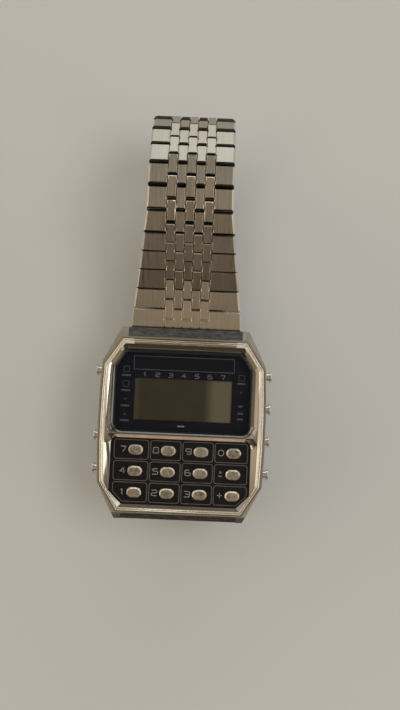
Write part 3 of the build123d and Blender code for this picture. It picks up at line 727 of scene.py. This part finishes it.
def turned_pusher(name):
    """Stands for a pusher: its collar and stem, and a round cap with a turned edge and a dished end."""
    low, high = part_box(name)
    side = 1 if high.x + low.x > 0 else -1
    inner = low.x if side > 0 else high.x
    axis_y, axis_z = (low.y + high.y) / 2, (low.z + high.z) / 2
    shell = bmesh.new()
    rings = [
        [
            shell.verts.new((
                inner + side * along * MM,
                axis_y + radius * MM * math.cos(math.tau * k / CAP_SIDES),
                axis_z + radius * MM * math.sin(math.tau * k / CAP_SIDES),
            ))
            for k in range(CAP_SIDES)
        ]
        for along, radius in pusher_profile((high.x - low.x) / MM)
    ]
    for first, second in zip(rings, rings[1:]):
        for k in range(CAP_SIDES):
            shell.faces.new((first[k - 1], first[k], second[k], second[k - 1]))
    shell.faces.new(rings[0])
    shell.faces.new(rings[-1])
    bmesh.ops.recalc_face_normals(shell, faces=shell.faces)
    piece = stand_in(shell, name, "_cap", name)
    piece.data.shade_smooth()
    piece.data.set_sharp_from_angle(angle=TURNED_SHARP_FROM)


# printed lines and numerals, each a little proud of the face that carries it


# sizes in mm; a line's width is named after what it draws
PRINT_DEPTH = 0.012
CELL_LINE = 0.16
CELL_CORNER = 0.5
KEY_NUMERAL_HALF = (0.58, 0.58)
KEY_NUMERAL_LINE = 0.18
DAY_NUMERAL_HALF = (0.46, 0.42)
DAY_NUMERAL_LINE = 0.15
TITLE_LINE = 0.14
TITLE_CORNER = 0.05
MARK_LINE = 0.10
MARK_CORNER = 0.08
BAR_LINE = 0.42
DASH_LINE = 0.28

LINE_INK = (0.148, 0.148, 0.148)
NUMERAL_INK = (0.37, 0.37, 0.35)
MARK_INK = (0.21, 0.22, 0.23)
BOX_INK = (0.26, 0.27, 0.29)
DAY_INK = (0.42, 0.43, 0.45)
DASH_INK = (0.8, 0.8, 0.8)
KEY_LABELS = ("7890", "456.", "123+")
CELL_SIDES = ((-14.1, -6.8), (-6.35, 0.06), (0.5, 6.95), (7.35, 14.3))
CELL_HALF_HEIGHT = 2.02
CELL_CUT = 2.1
LABEL_SHIFT = -2.65

# numerals as strokes in a box from -1 to 1; True closes a stroke
STROKES = {
    "0": [(False, [(0, -1), (1, -1), (1, 1), (-1, 1), (-1, -1), (0, -1)])],
    "1": [(False, [(-0.35, 0.62), (0.2, 1), (0.2, -1)])],
    "2": [(False, [(-1, 1), (1, 1), (1, 0), (-1, 0), (-1, -1), (1, -1)])],
    "3": [(False, [(-1, 1), (1, 1), (1, -1), (-1, -1)]), (False, [(-0.45, 0), (1, 0)])],
    "4": [(False, [(0.45, -1), (0.45, 1), (-1, -0.35), (1, -0.35)])],
    "5": [(False, [(0.95, 1), (-0.9, 1), (-0.9, 0.12), (1, 0.12), (1, -1), (-1, -1)])],
    "6": [(False, [(0.55, 1), (-1, 1), (-1, -1), (1, -1), (1, 0.1), (-0.95, 0.1)])],
    "7": [(False, [(-1, 1), (1, 1), (-0.15, -1)])],
    "8": [
        (False, [(0, 0), (1, 0), (1, -1), (-1, -1), (-1, 0), (0, 0)]),
        (False, [(0, 0.05), (0.88, 0.05), (0.88, 1), (-0.88, 1), (-0.88, 0.05), (0, 0.05)]),
    ],
    "9": [(False, [(-0.55, -1), (1, -1), (1, 1), (-1, 1), (-1, -0.05), (1, -0.05)])],
    ".": [
        (True, [(-0.22, 0.42), (0.22, 0.42), (0.22, 0.86), (-0.22, 0.86)]),
        (False, [(-0.6, -0.75), (0.6, -0.75)]),
    ],
    "+": [(False, [(-0.9, 0), (0.9, 0)]), (False, [(0, 0.95), (0, -0.95)])],
}

# numerals that share a corner radius, given as a share of their half width
NUMERAL_KINDS = (
    ("round", "0", 0.85),
    ("curved", "23569", 0.45),
    ("boxed", "8", 0.28),
    ("straight", "147.+", 0.05),
)


def numeral(sign, x, y, half_width, half_height):
    """Strokes of one numeral in mm from the head's middle."""
    return [
        (closed, [(x + half_width * across, y + half_height * up) for across, up in points])
        for closed, points in STROKES[sign]
    ]


CORNER_POINTS = 4


def line_tree():
    """A flat ruled line along each spline: rounds its corners and gives it width and depth."""
    tree = bpy.data.node_groups.new("ruled_line", "GeometryNodeTree")
    face = tree.interface
    face.new_socket("Outline", in_out="INPUT", socket_type="NodeSocketGeometry")
    for name in ("Line width", "Line depth", "Corner radius"):
        face.new_socket(name, in_out="INPUT", socket_type="NodeSocketFloat")
    face.new_socket("Ink", in_out="INPUT", socket_type="NodeSocketMaterial")
    face.new_socket("Line", in_out="OUTPUT", socket_type="NodeSocketGeometry")
    given = tree.nodes.new("NodeGroupInput")
    made = tree.nodes.new("NodeGroupOutput")
    fillet = tree.nodes.new("GeometryNodeFilletCurve")
    fillet.mode = "POLY"
    fillet.inputs["Count"].default_value = CORNER_POINTS
    fillet.inputs["Limit Radius"].default_value = True
    section = tree.nodes.new("GeometryNodeCurvePrimitiveQuadrilateral")
    sweep = tree.nodes.new("GeometryNodeCurveToMesh")
    realise = tree.nodes.new("GeometryNodeRealizeInstances")
    ink = tree.nodes.new("GeometryNodeSetMaterial")
    link = tree.links.new
    link(given.outputs["Outline"], fillet.inputs["Curve"])
    link(given.outputs["Corner radius"], fillet.inputs["Radius"])
    link(given.outputs["Line width"], section.inputs["Width"])
    link(given.outputs["Line depth"], section.inputs["Height"])
    link(fillet.outputs["Curve"], sweep.inputs["Curve"])
    link(section.outputs["Curve"], sweep.inputs["Profile Curve"])
    link(sweep.outputs["Mesh"], realise.inputs["Geometry"])
    link(realise.outputs["Geometry"], ink.inputs["Geometry"])
    link(given.outputs["Ink"], ink.inputs["Material"])
    link(ink.outputs["Geometry"], made.inputs["Line"])
    return tree


def ruled_lines(name, outlines, height, width, corner, material, tree, depth=PRINT_DEPTH):
    """Strokes (closed, points in mm from the head's middle) as flat lines at a height in metres."""
    curve = bpy.data.curves.new(name, "CURVE")
    curve.dimensions = "3D"
    curve.twist_mode = "Z_UP"
    for closed, outline in outlines:
        spline = curve.splines.new("POLY")
        spline.points.add(len(outline) - 1)
        for point, (x, y) in zip(spline.points, outline):
            place = HEAD + Vector((x * MM, y * MM, height))
            point.co = (*place, 1)
        spline.use_cyclic_u = closed
    drawn = bpy.data.objects.new(name + "_outline", curve)
    bpy.context.scene.collection.objects.link(drawn)
    shaper = drawn.modifiers.new("ruled_line", "NODES")
    shaper.node_group = tree
    values = {
        "Line width": width * MM, "Line depth": depth * MM, "Corner radius": corner * MM, "Ink": material,
    }
    for item in tree.interface.items_tree:
        if item.item_type == "SOCKET" and item.name in values:
            shaper[item.identifier] = values[item.name]
    return baked(drawn, name)


def baked(drawn, name):
    """The evaluated object as a plain mesh piece on the head."""
    bpy.context.view_layer.update()
    evaluated = drawn.evaluated_get(bpy.context.evaluated_depsgraph_get())
    mesh = bpy.data.meshes.new_from_object(evaluated)
    mesh.transform(drawn.matrix_world)
    piece = bpy.data.objects.new(name, mesh)
    bpy.context.scene.collection.objects.link(piece)
    bpy.data.objects.remove(drawn)
    return piece


def rectangle(left, right, low, high):
    return True, [(left, low), (right, low), (right, high), (left, high)]


def bar(x, y, length):
    """A level stroke about x and y."""
    return False, [(x - length / 2, y), (x + length / 2, y)]


def cell_outlines():
    """The lines round the keys; the two lowest outer cells have a cut corner."""
    outlines = []
    for row, y in enumerate(KEY_Y):
        for column, (left, right) in enumerate(CELL_SIDES):
            low, high = y - CELL_HALF_HEIGHT, y + CELL_HALF_HEIGHT
            cut = low + CELL_CUT
            if row == 2 and column == 0:
                corners = [(left + CELL_CUT, low), (right, low), (right, high), (left, high), (left, cut)]
                outlines.append((True, corners))
            elif row == 2 and column == 3:
                corners = [(left, low), (right - CELL_CUT, low), (right, cut), (right, high), (left, high)]
                outlines.append((True, corners))
            else:
                outlines.append(rectangle(left, right, low, high))
    return outlines


def on_head(piece):
    """The piece rides on the head."""
    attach(piece, "head")


def print_numerals(name, entries, half_size, level, ink, tree):
    """Numerals at (sign, x, y), each kind with corners of its own; level is their height and line width."""
    height, width = level
    for kind, signs, corner in NUMERAL_KINDS:
        strokes = [
            stroke for sign, x, y in entries if sign in signs
            for stroke in numeral(sign, x, y, *half_size)
        ]
        if strokes:
            radius = corner * half_size[0]
            on_head(ruled_lines(f"{name}_numerals_{kind}", strokes, height, width, radius, ink, tree))


def print_keypad(tree):
    height = PLATE_TOP + PRINT_DEPTH * MM / 2
    line_ink = print_ink("line_ink", LINE_INK)
    lines = ruled_lines("keypad_cell_lines", cell_outlines(), height, CELL_LINE, CELL_CORNER, line_ink, tree)
    on_head(lines)
    ink = print_ink("numeral_ink", NUMERAL_INK)
    entries = [
        (KEY_LABELS[row][column], x + LABEL_SHIFT, y)
        for row, y in enumerate(KEY_Y)
        for column, x in enumerate(KEY_X)
    ]
    print_numerals("keypad", entries, KEY_NUMERAL_HALF, (height, KEY_NUMERAL_LINE), ink, tree)


# display print: places in mm from the head's middle
TITLE_BOX = (-10.8, 10.8, 11.4, 14.3)
DAY_Y = 10.35
DAY_PITCH = 2.82
LEFT_X = -12.35
RIGHT_X = 12.45
LEFT_SQUARES_Y = (11.35, 8.2)
LEFT_DOTS_Y = (4.95, 1.65)
LEFT_BARS_Y = (10.0, 6.8, 3.5, 0.35)
RIGHT_SQUARES_Y = (10.4,)
RIGHT_DOTS_Y = (7.3,)
LEFT_BAR = 1.9
RIGHT_BARS = ((9.15, 1.7), (4.3, 0.8), (2.75, 1.2), (1.5, 1.2))
SQUARE_HALF = 0.6
DOT_HALF = 0.16
DASH = (-0.2, -0.5, 1.45)


def print_display(tree):
    height = MASK_TOP + PRINT_DEPTH * MM / 2
    ink = print_ink("mark_ink", MARK_INK)
    box_ink = print_ink("box_ink", BOX_INK)
    title = [rectangle(*TITLE_BOX)]
    on_head(ruled_lines("display_title_line", title, height, TITLE_LINE, TITLE_CORNER, box_ink, tree))
    squares = []
    for x, places, half in (
        (LEFT_X, LEFT_SQUARES_Y, SQUARE_HALF), (RIGHT_X, RIGHT_SQUARES_Y, SQUARE_HALF),
        (LEFT_X, LEFT_DOTS_Y, DOT_HALF), (RIGHT_X, RIGHT_DOTS_Y, DOT_HALF),
    ):
        squares += [rectangle(x - half, x + half, y - half, y + half) for y in places]
    on_head(ruled_lines("display_side_marks", squares, height, MARK_LINE, MARK_CORNER, ink, tree))
    bars = [bar(LEFT_X, y, LEFT_BAR) for y in LEFT_BARS_Y] + [bar(RIGHT_X, y, long) for y, long in RIGHT_BARS]
    on_head(ruled_lines("display_side_bars", bars, height, BAR_LINE, 0.0, ink, tree))
    days = [(str(day + 1), (day - 3) * DAY_PITCH, DAY_Y) for day in range(7)]
    day_ink = print_ink("day_ink", DAY_INK)
    print_numerals("day", days, DAY_NUMERAL_HALF, (height, DAY_NUMERAL_LINE), day_ink, tree)
    dash_ink = print_ink("dash_ink", DASH_INK)
    on_head(ruled_lines("display_dash", [bar(*DASH)], height, DASH_LINE, 0.0, dash_ink, tree))


make_camera()
make_world()
for lamp in LAMPS:
    soft_light(*lamp)
make_floor()
finish_nodes()
soft_frame()
for name in sorted(nodes):
    if name.startswith("pusher_"):
        turned_pusher(name)
lines = line_tree()
frame_ridges(lines)
print_keypad(lines)
print_display(lines)

scene = bpy.context.scene
scene.view_settings.view_transform = "Standard"
